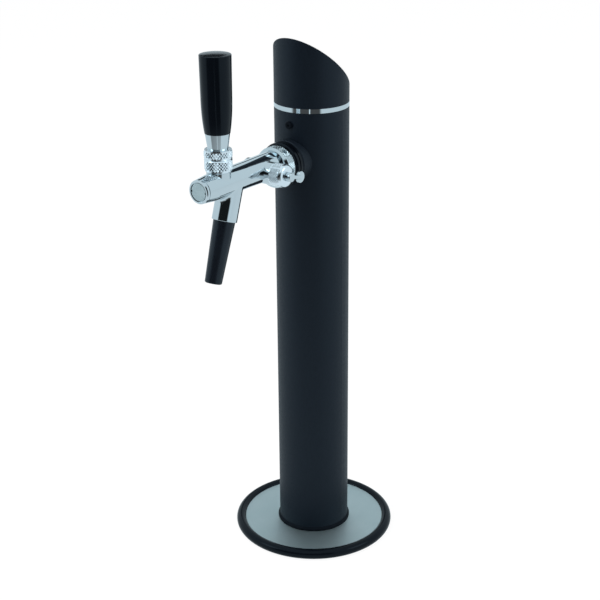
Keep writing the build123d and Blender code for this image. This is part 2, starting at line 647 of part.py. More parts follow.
def ring_groove(bore_r):
    """Rectangular groove for an O-ring that seals against a bore."""
    width = RING_SECTION_R + FIT
    return collar(bore_r + PAST, bore_r - 2 * (RING_SECTION_R + FIT), -width, width)


def plug_o_ring():
    place = FRONT_REACH - PLUG_SEAT_DEPTH - PLUG_L / 2
    return forward(BARREL_Z) * Pos(0, 0, place) * o_ring(BARREL_BORE_R - FIT)


# ---- Valve ------------------------------------------------------------------------
def piston():
    rear = PISTON_FRONT_REACH - PISTON_GUIDE_L
    stem_end = VALVE_SEAL_REACH - VALVE_SEAL_T - SEAL_NUT_T
    body = rod(PISTON_R, rear, PISTON_FRONT_REACH) + rod(PISTON_STEM_R, stem_end, rear)
    for step in PISTON_RING_STEPS:
        body -= Pos(0, 0, PISTON_FRONT_REACH - step) * ring_groove(BARREL_BORE_R)
    return forward(BARREL_Z) * body - Pos(0, -LEVER_REACH, BARREL_Z) * tail_pocket()


def tail_pocket():
    """Pocket for the lever's tail ball, opened forward at the top for the leaning tail."""
    half = TAIL_BALL_R + TAIL_GAP
    floor = half + POCKET_DEEPER
    front_top = half + PISTON_R * tan(radians(PULL))
    corners = [(half, -floor), (half, PISTON_R), (-front_top, PISTON_R), (-half, 0), (-half, -floor)]
    return extrude(Plane.YZ * make_face(Polyline(*corners, close=True)), half, both=True)


def piston_o_rings():
    rings = []
    for step in PISTON_RING_STEPS:
        place = forward(BARREL_Z) * Pos(0, 0, PISTON_FRONT_REACH - step)
        rings.append(place * o_ring(BARREL_BORE_R - FIT))
    return Compound(children=rings)


def valve_seal():
    rear = VALVE_SEAL_REACH - VALVE_SEAL_T
    return forward(BARREL_Z) * collar(VALVE_SEAL_R, PISTON_STEM_R + FIT, rear, VALVE_SEAL_REACH)


def valve_seal_nut():
    front = VALVE_SEAL_REACH - VALVE_SEAL_T
    nut = hexagon_nut(2 * SEAL_NUT_R, front - SEAL_NUT_T, front, PISTON_STEM_R + FIT)
    return forward(BARREL_Z) * nut


# ---- Lever ------------------------------------------------------------------------
def ball_seat():
    """Plastic ring in the neck, hollowed to carry the lever's ball."""
    low = PIVOT_Z - BALL_SEAT_LOW + LAY
    ring = collar(NECK_BORE_R - FIT, BALL_SEAT_BORE_R, low, low + BALL_SEAT_T)
    return Pos(0, -LEVER_REACH, 0) * (ring - Pos(0, 0, PIVOT_Z) * Sphere(BALL_R + RUN))


def lever_bonnet():
    """Nut that screws over the neck: taper, band and a dome centred on the pivot."""
    low = NECK_TOP + LAY
    roof = NECK_TOP + NECK_THREAD_H + LAY
    bore_r = NECK_THREAD_R + FIT
    dome_start = degrees(atan2(BONNET_BAND_RISE, BONNET_R))
    outline = [
        Polyline((0, PIVOT_Z + DOME_R), (0, roof), (bore_r, roof), (bore_r, low), (NECK_R, low),
                 (BONNET_R, low + BONNET_TAPER_H), (BONNET_R, BAND_TOP)),
        CenterArc((0, PIVOT_Z), DOME_R, dome_start, 90 - dome_start),
    ]
    bonnet = revolve(Plane.XZ * make_face(outline), Axis.Z)
    bonnet -= Pos(0, 0, PIVOT_Z) * Sphere(BALL_R + RUN)
    return Pos(0, -LEVER_REACH, 0) * (bonnet - Pos(0, 0, PIVOT_Z) * stem_slot())


def stem_slot():
    """Slot that the stem sweeps, from upright to fully pulled, about the pivot."""
    half = STEM_R + FREE
    top = 2 * DOME_R
    pull = radians(PULL)
    far = (-(half / cos(pull) + top * tan(pull)), top)
    near = (-half / cos(pull), 0)
    fan = make_face(Polyline((half, 0), (half, top), far, near, close=True))
    return extrude(Plane.YZ * fan, half, both=True)


def lever():
    low = BARREL_Z
    stem = rod(STEM_R, PIVOT_Z, RING_TOP + STEM_GRIP_L) + Pos(0, 0, PIVOT_Z) * Sphere(BALL_R)
    tail = rod(TAIL_R, low, PIVOT_Z) + Pos(0, 0, low) * Sphere(TAIL_BALL_R)
    return Pos(0, -LEVER_REACH, 0) * (stem + tail)


def lever_collar():
    bore_r = STEM_R + FIT
    ring = turned([
        (bore_r, RING_LOW), (RING_R - RING_EDGE / 2, RING_LOW), (RING_R, RING_LOW + RING_EDGE),
        (RING_R, RING_TOP - RING_EDGE), (RING_R - RING_EDGE, RING_TOP), (bore_r, RING_TOP),
    ])
    return Pos(0, -LEVER_REACH, 0) * (ring - Pos(0, 0, PIVOT_Z) * Sphere(DOME_R + FREE))


def handle_ferrule():
    low = RING_TOP + LAY
    cone = turned([(0, low), (FERRULE_LOW_R, low), (FERRULE_TOP_R, FERRULE_TOP), (0, FERRULE_TOP)])
    stud = rod(FERRULE_STUD_R, FERRULE_TOP, FERRULE_TOP + FERRULE_STUD_L)
    bore = rod(STEM_R + FIT, low - PAST, RING_TOP + STEM_GRIP_L + FREE)
    return Pos(0, -LEVER_REACH, 0) * (cone + stud - bore)


def handle_grip():
    low = FERRULE_TOP + LAY
    waist = low + GRIP_WAIST_H
    top = low + GRIP_H
    tangents = [(GRIP_LOW_SPREAD, 1), (GRIP_HIGH_SPREAD, 1)]
    outline = [
        Line((0, low), (GRIP_LOW_R, low)),
        Spline((GRIP_LOW_R, low), (GRIP_MID_R, waist), tangents=tangents),
        Line((GRIP_MID_R, waist), (GRIP_TOP_R, top)),
        Line((GRIP_TOP_R, top), (0, top)),
        Line((0, top), (0, low)),
    ]
    grip = revolve(Plane.XZ * make_face(outline), Axis.Z)
    grip = fillet(grip.edges().group_by(Axis.Z)[-1], GRIP_EDGE_R)
    bore = rod(FERRULE_STUD_R + FIT, low - PAST, FERRULE_TOP + FERRULE_STUD_L + FREE)
    return Pos(0, -LEVER_REACH, 0) * (grip - bore)


# ---- Nozzle -----------------------------------------------------------------------
def nozzle():
    start = SPOUT_L + LAY
    end = start + NOZZLE_L
    spigot = SPOUT_L - NOZZLE_SPIGOT_L
    pipe = turned([
        (NOZZLE_BORE_R, spigot), (NOZZLE_SPIGOT_R, spigot), (NOZZLE_SPIGOT_R, start),
        (NOZZLE_TOP_R, start), (NOZZLE_TIP_R, end - NOZZLE_EDGE), (NOZZLE_TIP_R - NOZZLE_EDGE, end),
        (NOZZLE_MOUTH_R, end),
        (NOZZLE_MOUTH_R, end - NOZZLE_MOUTH_L), (NOZZLE_BORE_R, end - NOZZLE_MOUTH_L),
    ])
    pipe -= Pos(0, 0, SPOUT_L - NOZZLE_SPIGOT_L / 2) * ring_groove(NOZZLE_SPIGOT_R)
    return spout_frame() * pipe


def nozzle_o_ring():
    return spout_frame() * Pos(0, 0, SPOUT_L - NOZZLE_SPIGOT_L / 2) * o_ring(NOZZLE_SPIGOT_R)


# ---- Flow control -----------------------------------------------------------------
def flow_gland_nut():
    low = BOSS_OUT + LAY
    inner_face = GLAND_END - GLAND_FACE_T
    outline = [
        Line((BOSS_NECK_R + FIT, low), (GLAND_R, low)),
        Line((GLAND_R, low), (GLAND_R, GLAND_END - GLAND_DOME_R)),
        CenterArc((GLAND_R - GLAND_DOME_R, GLAND_END - GLAND_DOME_R), GLAND_DOME_R, 0, 90),
        Line((GLAND_R - GLAND_DOME_R, GLAND_END), (SPINDLE_R + RUN, GLAND_END)),
        Line((SPINDLE_R + RUN, GLAND_END), (SPINDLE_R + RUN, inner_face)),
        Line((SPINDLE_R + RUN, inner_face), (BOSS_NECK_R + FIT, inner_face)),
        Line((BOSS_NECK_R + FIT, inner_face), (BOSS_NECK_R + FIT, low)),
    ]
    return sideways(FLOW_REACH, FLOW_Z) * revolve(Plane.XZ * make_face(outline), Axis.Z)


def flow_spindle():
    """Journal with a crank pin on its inner end and a stem through the gland nut."""
    journal_out = GLAND_END - GLAND_FACE_T - FREE
    spindle = rod(JOURNAL_R - RUN, JOURNAL_IN, journal_out)
    spindle += rod(SPINDLE_R, journal_out, GLAND_END + FREE + KNOB_HUB_H - KNOB_CAP_T)
    spindle -= Pos(0, 0, journal_out - SPINDLE_RING_IN) * ring_groove(JOURNAL_R)
    spindle += Pos(0, CRANK, 0) * rod(CRANK_PIN_R, JOURNAL_IN - CRANK_PIN_L, JOURNAL_IN)
    return sideways(FLOW_REACH, FLOW_Z) * spindle


def spindle_o_ring():
    place = GLAND_END - GLAND_FACE_T - FREE - SPINDLE_RING_IN
    return sideways(FLOW_REACH, FLOW_Z) * Pos(0, 0, place) * o_ring(JOURNAL_R - FIT)


def flow_lever():
    """Hub on the spindle, a round arm pointing back and a flat disc to push."""
    low = GLAND_END + FREE
    mid = low + KNOB_HUB_H / 2
    hub = fillet(rod(KNOB_HUB_R, low, low + KNOB_HUB_H).edges().group_by(Axis.Z)[-1], KNOB_EDGE_R)
    arm = Pos(0, 0, mid) * Rot(0, 90, 0) * rod(KNOB_ROD_R, 0, KNOB_ARM)
    pad = Pos(KNOB_ARM, 0, 0) * rod(KNOB_PAD_R, mid - KNOB_PAD_T / 2, mid + KNOB_PAD_T / 2)
    pad = fillet(pad.edges(), KNOB_EDGE_R)
    socket = rod(SPINDLE_R + FIT, low - PAST, low + KNOB_HUB_H - KNOB_CAP_T + FIT)
    return sideways(FLOW_REACH, FLOW_Z) * Rot(0, 0, -KNOB_DROP) * (hub + arm + pad - socket)


def flow_cone():
    """Fluted guide, a neck for the crank pin, then the cone that throttles the flow."""
    groove_rear, groove_front = FLOW_REACH - CRANK_GROOVE_HALF, FLOW_REACH + CRANK_GROOVE_HALF
    guide_r = INLET_R - RUN
    nose_r = INLET_R - CONE_GAP
    slope = (INLET_R - CONE_SEAT_END_R) / CONE_SEAT_L
    cone = turned([
        (0, CONE_REAR_REACH), (guide_r, CONE_REAR_REACH), (guide_r, groove_rear),
        (CONE_STEM_R, groove_rear), (CONE_STEM_R, groove_front), (nose_r, groove_front),
        (nose_r, CONE_SEAT_REACH),
        (nose_r - slope * CONE_NOSE_L, CONE_SEAT_REACH + CONE_NOSE_L), (0, CONE_SEAT_REACH + CONE_NOSE_L),
    ])
    for spot in PolarLocations(guide_r, CONE_FLUTES):
        cone -= spot * rod(CONE_FLUTE_R, CONE_REAR_REACH - PAST, FLOW_REACH)
    return forward(FLOW_Z) * cone


NODES = {
    "base_gasket": base_gasket,
    "base_plate": base_plate,
    "base_edge_ring": base_edge_ring,
    "base_screws": base_screws,
    "foot_flange": foot_flange,
    "column_foot_seal": column_foot_seal,
    "column_tube": column_tube,
    "trim_ring": trim_ring,
    "slanted_cap": slanted_cap,
    "cap_lock_screw": cap_lock_screw,
    "shank_saddle": shank_saddle,
    "shank_collar": shank_collar,
    "shank": shank,
    "inner_saddle_washer": inner_saddle_washer,
    "shank_lock_nut": shank_lock_nut,
    "tail_seal": tail_seal,
    "tail_elbow": tail_elbow,
    "tail_union_nut": tail_union_nut,
    "riser_pipe": riser_pipe,
    "pipe_guide": pipe_guide,
    "insulation_sleeve": insulation_sleeve,
    "coupling_nut": coupling_nut,
    "shank_seal": shank_seal,
    "tap_body": tap_body,
    "front_plug": front_plug,
    "plug_o_ring": plug_o_ring,
    "piston": piston,
    "piston_o_rings": piston_o_rings,
    "valve_seal": valve_seal,
    "valve_seal_nut": valve_seal_nut,
    "ball_seat": ball_seat,
    "lever_bonnet": lever_bonnet,
    "lever": lever,
    "lever_collar": lever_collar,
    "handle_ferrule": handle_ferrule,
    "handle_grip": handle_grip,
    "nozzle": nozzle,
    "nozzle_o_ring": nozzle_o_ring,
    "flow_gland_nut": flow_gland_nut,
    "flow_spindle": flow_spindle,
    "spindle_o_ring": spindle_o_ring,
    "flow_lever": flow_lever,
    "flow_cone": flow_cone,
}

os.makedirs("parts", exist_ok=True)
for node, make in NODES.items():
    solid = make()
    solid.label = node
    export_step(solid, f"parts/{node}.step")
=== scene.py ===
import json
import math

import bmesh
import bpy
from mathutils import Matrix, Vector

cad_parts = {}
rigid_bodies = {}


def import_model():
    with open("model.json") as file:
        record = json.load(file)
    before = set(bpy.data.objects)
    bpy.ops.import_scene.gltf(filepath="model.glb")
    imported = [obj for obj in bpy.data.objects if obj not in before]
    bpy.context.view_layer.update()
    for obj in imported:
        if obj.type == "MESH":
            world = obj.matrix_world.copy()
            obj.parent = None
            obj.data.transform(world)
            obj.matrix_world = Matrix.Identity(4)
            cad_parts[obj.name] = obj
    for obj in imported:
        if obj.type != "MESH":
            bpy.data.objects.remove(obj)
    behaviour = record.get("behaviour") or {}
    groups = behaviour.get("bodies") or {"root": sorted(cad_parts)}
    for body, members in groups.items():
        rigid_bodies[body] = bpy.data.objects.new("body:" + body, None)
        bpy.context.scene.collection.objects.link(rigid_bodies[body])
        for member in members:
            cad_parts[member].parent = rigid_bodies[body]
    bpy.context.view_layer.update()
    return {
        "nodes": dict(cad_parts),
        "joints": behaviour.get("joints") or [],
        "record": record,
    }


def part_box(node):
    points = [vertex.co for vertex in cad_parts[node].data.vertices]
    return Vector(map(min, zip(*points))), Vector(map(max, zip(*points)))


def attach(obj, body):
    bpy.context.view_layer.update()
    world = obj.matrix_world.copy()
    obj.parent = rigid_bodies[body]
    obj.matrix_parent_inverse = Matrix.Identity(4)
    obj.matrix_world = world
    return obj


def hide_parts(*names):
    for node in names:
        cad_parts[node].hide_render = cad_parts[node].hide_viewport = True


# The looks of the beer tower: a material for each CAD node, five finer pieces in place of plain
# nodes, a studio and the photograph's camera. Blender works in metres, sizes are in millimetres.
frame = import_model()
MM = 0.001


def span(node, axis):
    """Lowest and highest place of a CAD node along an axis, in millimetres to a hundredth."""
    return tuple(round(corner["XYZ".index(axis)] / MM, 2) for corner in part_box(node))


def joint(name):
    """The record's row of a joint."""
    return next(row for row in frame["joints"] if row["name"] == name)


def pivot(name):
    """How far in front of the column's axis a joint's pivot lies, and how high, in millimetres."""
    _, y, z = joint(name)["pos_m"]
    return round(-y / MM, 2), round(z / MM, 2)


# ---- Sizes in millimetres ---------------------------------------------------------
# Places and most outer sizes are read from the frame. The other sizes repeat the CAD's, but for
# the knurls and the grip's crown, which are made here alone.
LEVER_REACH, PIVOT_Z = pivot("lever_tilt")
FLOW_REACH, FLOW_Z = pivot("flow_lever_turn")
PULL = joint("lever_tilt")["range_deg"][1]      # degrees the handle comes forward

SHANK_Z = sum(span("coupling_nut", "Z")) / 2
NUT_LOW, NUT_HIGH = sorted(-place for place in span("coupling_nut", "Y"))
NUT_R = span("coupling_nut", "X")[1]
NUT_CHAMFER = 1.5
NUT_BEVEL = 2.4             # of the front edge
NUT_BORE_R = 14.05
NUT_NECK_R = 11.65
NUT_WALL = 2.7              # front wall, round the tap's neck
NUT_HOLES = 6
NUT_HOLE_R = 2.2
NUT_HOLE_DEPTH = 3.5
NUT_HOLE_START = 56.0       # degrees round from +X

GLAND_LOW, GLAND_END = span("flow_gland_nut", "X")
GLAND_R = FLOW_REACH + span("flow_gland_nut", "Y")[1]
GLAND_DOME_R = 4.0
GLAND_BORE_R = 8.55
GLAND_HOLE_R = 3.06
GLAND_WALL = 5.6            # end wall, round the spindle
GLAND_MARGIN = 0.5          # plain stretch at each end of the knurl

BONNET_R = span("lever_bonnet", "X")[1]
BONNET_LOW = span("lever_bonnet", "Z")[0]
BONNET_BORE_R = 10.45
BONNET_BORE_DEPTH = 4.0
BONNET_TAPER = 1.7          # of the foot, as much inwards as downwards
BONNET_BAND_RISE = 8.8      # top edge of the band above the pivot
BONNET_EYE_R = 1.0          # lies wholly inside the stem's slot
BAND_TOP = PIVOT_Z + BONNET_BAND_RISE
DOME_R = math.hypot(BONNET_R, BONNET_BAND_RISE)
SOCKET_R = 6.56
SLOT_HALF = 4.4

RING_R = span("lever_collar", "X")[1]
RING_LOW, RING_TOP = span("lever_collar", "Z")
RING_EDGE = 0.8
RING_BORE_R = 4.05
RING_FREE = 0.4             # gap between the collar's hollow and the bonnet's dome

GRIP_LOW, GRIP_TOP = span("handle_grip", "Z")
GRIP_WAIST_H = 31.6         # from the foot to where the side turns straight
GRIP_LOW_R = 12.15
GRIP_MID_R = 14.65
GRIP_TOP_R = 15.05
GRIP_LOW_SPREAD = 0.16      # outward run of the side per unit of height, at its foot
GRIP_MID_SPREAD = 0.008     # and at its waist
GRIP_EDGE_R = 0.8
GRIP_CROWN = 1.1            # height of the slightly domed top, which the CAD has flat
STUD_BORE_R = 6.55
STUD_BORE_DEPTH = 16.38

COARSE_PITCH, COARSE_DEPTH = 2.8, 0.72          # knurl of the bonnet and the collar
FINE_PITCH, FINE_DEPTH = 2.2, 0.35              # knurl of the two nuts

GRIP_SIDES = 96             # vertices round the grip
DRILL_SIDES = 40            # and round the cutters
BALL_SIDES = 48
CREASE = 14.0               # degrees; a sharper edge stays sharp when shaded
MERGE = 0.001               # vertices nearer than this are one
PAST = 1.0                  # how far a drill reaches past the surface

# ---- Camera -----------------------------------------------------------------------
# From a fit to the photograph's edges of column, base and cap, in metres and radians.
CAMERA_AZIMUTH = math.radians(36.0)
CAMERA_DISTANCE = 1.350711
CAMERA_HEIGHT = 0.81363
CAMERA_PAN = -0.01
CAMERA_PITCH = 0.384
CAMERA_ROLL = -0.009
VIEW_END = 50.0             # nothing beyond is drawn
LENS = 82.21                # millimetres, as the sensor's width is
SENSOR_WIDTH = 36.0


def add_camera():
    """Puts the camera where the photograph was taken from."""
    turn = Matrix.Rotation(CAMERA_AZIMUTH, 3, "Z")
    ahead = Vector((
        math.sin(CAMERA_PAN) * math.cos(CAMERA_PITCH),
        math.cos(CAMERA_PAN) * math.cos(CAMERA_PITCH),
        -math.sin(CAMERA_PITCH),
    ))
    right = Vector((math.cos(CAMERA_PAN), -math.sin(CAMERA_PAN), 0))
    up = right.cross(ahead)
    rolled_right = math.cos(CAMERA_ROLL) * right + math.sin(CAMERA_ROLL) * up
    rolled_up = math.cos(CAMERA_ROLL) * up - math.sin(CAMERA_ROLL) * right
    facing = turn @ Matrix((rolled_right, rolled_up, -ahead)).transposed()
    place = turn @ Vector((0, -CAMERA_DISTANCE, CAMERA_HEIGHT))
    data = bpy.data.cameras.new("camera")
    data.lens = LENS
    data.sensor_width = SENSOR_WIDTH
    data.clip_end = VIEW_END
    camera = bpy.data.objects.new("camera", data)
    camera.matrix_world = Matrix.Translation(place) @ facing.to_4x4()
    bpy.context.scene.collection.objects.link(camera)
    bpy.context.scene.camera = camera


# ---- Node trees -------------------------------------------------------------------
MIX_FIRST, MIX_SECOND = 2, 3                        # sockets of a Mix node, for numbers
MIX_FIRST_COLOR, MIX_SECOND_COLOR, MIX_COLOR = 6, 7, 2      # and for colours


class Tree:
    """A node tree. What a node is fed with is another node's output, or a constant."""

    def __init__(self, tree):
        self.nodes, self.links = tree.nodes, tree.links

    def feed(self, socket, value):
        """Links an output to a socket, or sets the constant on it."""
        if isinstance(value, bpy.types.NodeSocket):
            self.links.new(value, socket)
        else:
            socket.default_value = value

    def add(self, kind, inputs=None, **settings):
        """Adds a node with its settings, and feeds its inputs, by name or by number."""
        node = self.nodes.new(kind)
        for name, value in settings.items():
            setattr(node, name, value)
        for name, value in (inputs or {}).items():
            self.feed(node.inputs[name], value)
        return node

    def calc(self, operation, *values):
        return self.add("ShaderNodeMath", dict(enumerate(values)), operation=operation).outputs[0]

    def vector(self, operation, *values):
        inputs = dict(enumerate(values))
        return self.add("ShaderNodeVectorMath", inputs, operation=operation).outputs["Vector"]

    def dot(self, first, second):
        inputs = {0: first, 1: second}
        return self.add("ShaderNodeVectorMath", inputs, operation="DOT_PRODUCT").outputs["Value"]

    def spread(self, value, source, target=(0.0, 1.0)):
        """Carries a value from one range, low and high, to another, and stops at its ends."""
        inputs = {"Value": value, "From Min": source[0], "From Max": source[1],
                  "To Min": target[0], "To Max": target[1]}
        return self.add("ShaderNodeMapRange", inputs).outputs["Result"]

    def mix_shaders(self, share, first, second):
        return self.add("ShaderNodeMixShader", {0: share, 1: first, 2: second}).outputs[0]

    def window(self, angle, stops):
        """1 between the two middle stops, 0 outside the outer two; stops in degrees."""
        outer_low, low, high, outer_high = (math.radians(stop) for stop in stops)
        above = self.spread(angle, (outer_low, low))
        below = self.spread(angle, (outer_high, high))
        return self.calc("MINIMUM", above, below)

    def patch(self, sideways, upward, sides, heights):
        """1 inside a patch of the studio's wall, 0 outside it."""
        return self.calc("MULTIPLY", self.window(sideways, sides), self.window(upward, heights))

    def glow(self, group, direction):
        """The studio's brightness in a direction."""
        return self.add("ShaderNodeGroup", {0: direction}, node_tree=group).outputs[0]


# ---- Materials --------------------------------------------------------------------
NOISE_RANGE = (0.3, 0.7)    # where nearly all of a noise's values lie
COOL = (0.72, 0.87, 1.0)    # tint of what black surfaces mirror
LIGHTER = 1.5               # a black's lightest shade against its darkest
TURNING = (300.0, 300.0, 2600.0)    # stretch of a noise that makes turning lines


class Surface(Tree):
    """A Principled material, patterned by the place on the object."""

    def __init__(self, name, metallic=0.0, specular=0.5, tint=(1, 1, 1)):
        self.material = bpy.data.materials.new(name)
        self.material.use_nodes = True
        super().__init__(self.material.node_tree)
        self.shader = self.nodes["Principled BSDF"]
        self.feed(self.shader.inputs["Metallic"], metallic)
        self.feed(self.shader.inputs["Specular IOR Level"], specular)
        self.feed(self.shader.inputs["Specular Tint"], (*tint, 1))
        self.where = self.add("ShaderNodeTexCoord").outputs["Object"]

    def stretched(self, scale):
        """The place, scaled apart along each axis."""
        return self.add("ShaderNodeMapping", {"Vector": self.where, "Scale": scale}).outputs["Vector"]

    def polar(self, across, around):
        """The distance from the Z axis and the angle round it, each times its factor."""
        split = self.add("ShaderNodeSeparateXYZ", {0: self.where})
        x, y = split.outputs["X"], split.outputs["Y"]
        squares = self.calc("ADD", self.calc("MULTIPLY", x, x), self.calc("MULTIPLY", y, y))
        radius = self.calc("MULTIPLY", self.calc("SQRT", squares), across)
        angle = self.calc("MULTIPLY", self.calc("ARCTAN2", x, y), around)
        return self.add("ShaderNodeCombineXYZ", {0: radius, 1: angle}).outputs[0]

    def noise(self, scale, detail, vector=None, roughness=0.5):
        inputs = {"Vector": vector or self.where, "Scale": scale, "Detail": detail,
                  "Roughness": roughness}
        return self.add("ShaderNodeTexNoise", inputs).outputs["Fac"]

    def color(self, pattern, first, second):
        """Base colour between two shades."""
        inputs = {0: pattern, MIX_FIRST_COLOR: (*first, 1), MIX_SECOND_COLOR: (*second, 1)}
        mix = self.add("ShaderNodeMix", inputs, data_type="RGBA")
        self.feed(self.shader.inputs["Base Color"], mix.outputs[MIX_COLOR])

    def rough(self, pattern, low, high):
        """Roughness between two values."""
        self.feed(self.shader.inputs["Roughness"], self.spread(pattern, NOISE_RANGE, (low, high)))

    def bump(self, pattern, strength, depth):
        """Relief of a depth in millimetres."""
        inputs = {"Height": pattern, "Strength": strength, "Distance": depth * MM}
        relief = self.add("ShaderNodeBump", inputs).outputs["Normal"]
        self.feed(self.shader.inputs["Normal"], relief)


def chrome(name, light, dark, roughness, relief=0.01):
    """Chrome plate, with a little unevenness of tone, gloss and surface."""
    surface = Surface(name, metallic=1.0)
    surface.color(surface.noise(scale=45.0, detail=3.0), light, dark)
    surface.rough(surface.noise(scale=260.0, detail=4.0), *roughness)
    surface.bump(surface.noise(scale=110.0, detail=1.0), strength=0.5, depth=relief)
    return surface.material


def powder_coat():
    """Black powder coat with its fine texture."""
    surface = Surface("powder_coat", specular=0.25, tint=COOL)
    shades = (0.0035, 0.0065, 0.0115), (0.0065, 0.011, 0.019)
    surface.color(surface.noise(scale=1400.0, detail=3.0), *shades)
    surface.rough(surface.noise(scale=700.0, detail=3.0), low=0.42, high=0.56)
    surface.bump(surface.noise(scale=1900.0, detail=2.0), strength=0.55, depth=0.12)
    return surface.material


def black(name, shade, roughness, grain, relief, specular=0.35):
    """Black plastic or rubber with a moulded grain."""
    surface = Surface(name, specular=specular, tint=COOL)
    lighter = tuple(LIGHTER * part for part in shade)
    surface.color(surface.noise(scale=90.0, detail=3.0), shade, lighter)
    surface.rough(surface.noise(scale=300.0, detail=3.0), *roughness)
    surface.bump(surface.noise(scale=grain, detail=2.0), strength=0.4, depth=relief)
    return surface.material


def turned_steel():
    """Stainless disc with fine circular brushing."""
    surface = Surface("turned_steel", metallic=1.0)
    round_lines = surface.polar(across=2600.0, around=5.0)
    rings = surface.noise(scale=1.0, detail=3.0, vector=round_lines, roughness=0.6)
    surface.color(surface.noise(scale=30.0, detail=2.0), (0.46, 0.55, 0.56), (0.56, 0.63, 0.64))
    surface.rough(rings, low=0.45, high=0.58)
    surface.bump(rings, strength=0.35, depth=0.05)
    return surface.material


def machined(name, first, second, roughness=(0.18, 0.36)):
    """Bare metal with fine lines across the Z axis."""
    surface = Surface(name, metallic=1.0)
    surface.color(surface.noise(scale=160.0, detail=3.0), first, second)
    lines = surface.noise(scale=1.0, detail=3.0, vector=surface.stretched(TURNING))
    surface.rough(lines, *roughness)
    surface.bump(lines, strength=0.2, depth=0.04)
    return surface.material


def moulded(name, first, second, roughness=(0.4, 0.55), grain=900.0):
    """Plastic or foam of a plain colour."""
    surface = Surface(name)
    surface.color(surface.noise(scale=120.0, detail=3.0), first, second)
    surface.rough(surface.noise(scale=400.0, detail=2.0), *roughness)
    surface.bump(surface.noise(scale=grain, detail=2.0), strength=0.3, depth=0.06)
    return surface.material


# The knurled chrome is the same plate as the smooth chrome, but with a lighter base colour: a painted
# brightening for the light the knurl's facets catch.
KNURL_CHROME_PAINTED_LIGHTER = chrome("knurled_chrome", (0.88, 0.94, 0.98), (0.78, 0.85, 0.9), (0.17, 0.26), relief=0.02)
SATIN_CHROME = chrome("satin_chrome", (0.62, 0.69, 0.72), (0.56, 0.63, 0.66), (0.06, 0.12))
GLOSS_BLACK = black("gloss_black", (0.002, 0.003, 0.005), (0.12, 0.18),
                    grain=240.0, relief=0.01, specular=0.18)
SATIN_BLACK = black("satin_black", (0.005, 0.007, 0.011), (0.26, 0.36), grain=900.0, relief=0.03)
DULL_BLACK = black("dull_black", (0.003, 0.0045, 0.007), (0.5, 0.65),
                   grain=900.0, relief=0.04, specular=0.08)

SLOT_LOOK = {
    "powder_black": powder_coat(),
    "black_fitting": black("matt_black", (0.006, 0.009, 0.014), (0.42, 0.55),
                           grain=1500.0, relief=0.06, specular=0.25),
    "gloss_black": GLOSS_BLACK,
    "black_rubber": black("black_rubber", (0.003, 0.0045, 0.007), (0.13, 0.19),
                          grain=300.0, relief=0.01, specular=0.12),
    "brushed_plate": turned_steel(),
    "polished_chrome": chrome("polished_chrome", (0.63, 0.69, 0.72), (0.59, 0.65, 0.68), (0.02, 0.05)),
    "knurled_chrome": KNURL_CHROME_PAINTED_LIGHTER,
    "plain_steel": machined("plain_steel", (0.5, 0.52, 0.54), (0.58, 0.6, 0.61)),
    "cast_aluminium": machined("cast_aluminium", (0.6, 0.61, 0.62), (0.5, 0.51, 0.52), (0.4, 0.6)),
    "line_brass": machined("line_brass", (0.62, 0.45, 0.18), (0.7, 0.52, 0.24)),
    "grey_plug": machined("grey_plug", (0.48, 0.58, 0.6), (0.66, 0.75, 0.77), (0.35, 0.5)),
    "white_plastic": moulded("white_plastic", (0.75, 0.75, 0.72), (0.8, 0.8, 0.78)),
    "foam": moulded("foam", (0.03, 0.03, 0.03), (0.05, 0.05, 0.05), (0.8, 0.95), grain=350.0),
}
NODE_LOOK = {"nozzle": SATIN_BLACK, "column_foot_seal": DULL_BLACK, "cap_lock_screw": DULL_BLACK}


def dress_nodes():
    """Gives each CAD node the look of its slot, or its own look."""
    slots = {part["node"]: part["material_slot"] for part in frame["record"]["subparts"]}
    for name, node in frame["nodes"].items():
        node.data.materials.clear()
        node.data.materials.append(NODE_LOOK.get(name, SLOT_LOOK[slots[name]]))


# ---- Studio -----------------------------------------------------------------------
# What glossy surfaces mirror. A patch of the studio's wall has four stops in degrees each way:
# it starts to fade in at the first, is full from the second to the third, and ends at the
# fourth. Sides are counted round from the studio's front, and heights up from level.
STUDIO_FRONT = 36.0         # degrees round from -Y, the side that the photograph was taken from
WALL_GLOW = 0.84
GAP_SIDES = (-64.0, -56.0, 23.0, 30.0)          # the open, unlit front
GAP_HEIGHTS = (-33.0, -19.5, 32.0, 40.0)
GAP_GLOW = 0.012
SLIT_SIDES = (-8.5, -7.2, -5.2, -4.0)           # narrow light in the gap
SLIT_HEIGHTS = (-40.0, -35.0, -9.0, -6.0)
SLIT_GLOW = 1.0             # over the gap's
PANEL_SIDES = (52.0, 57.0, 82.0, 87.0)          # bright panels, left and right alike
PANEL_HEIGHTS = (20.0, 24.0, 42.0, 46.0)
PANEL_GLOW = 1.6            # over the wall's
STRIP_SIDES = (-180.6, -179.9, -168.0, -165.0)  # dark strip behind the part
STRIP_HEIGHTS = (15.5, 17.0, 31.0, 34.0)
STRIP_DARK = 0.97           # share of the wall's glow that it takes away
GLOW_COLOR = (0.83, 0.985, 1.06, 1)             # cool white
TAP_HEIGHT = 0.43           # metres; directions to points of the floor are taken from here

WHITE = (1, 1, 1, 1)
FLOOR_HALF = 14.0           # metres
FLOOR_COLOR = (0.88, 0.88, 0.88, 1)
FLOOR_GLOW = 1.07           # makes up for the matt share, which is darker than white
FLOOR_GLOW_SHARE = 0.86     # of what the camera sees; the rest is matt and takes the shadow
FLOOR_MIRROR_SHARE = 0.9    # of what glossy surfaces see
ROOM_COLOR = (0.95, 0.98, 1, 1)                 # even light from all round
ROOM_GLOW = 0.6
LIGHT_AIM = (0, 0, 0.28)    # metres; about the middle of the part


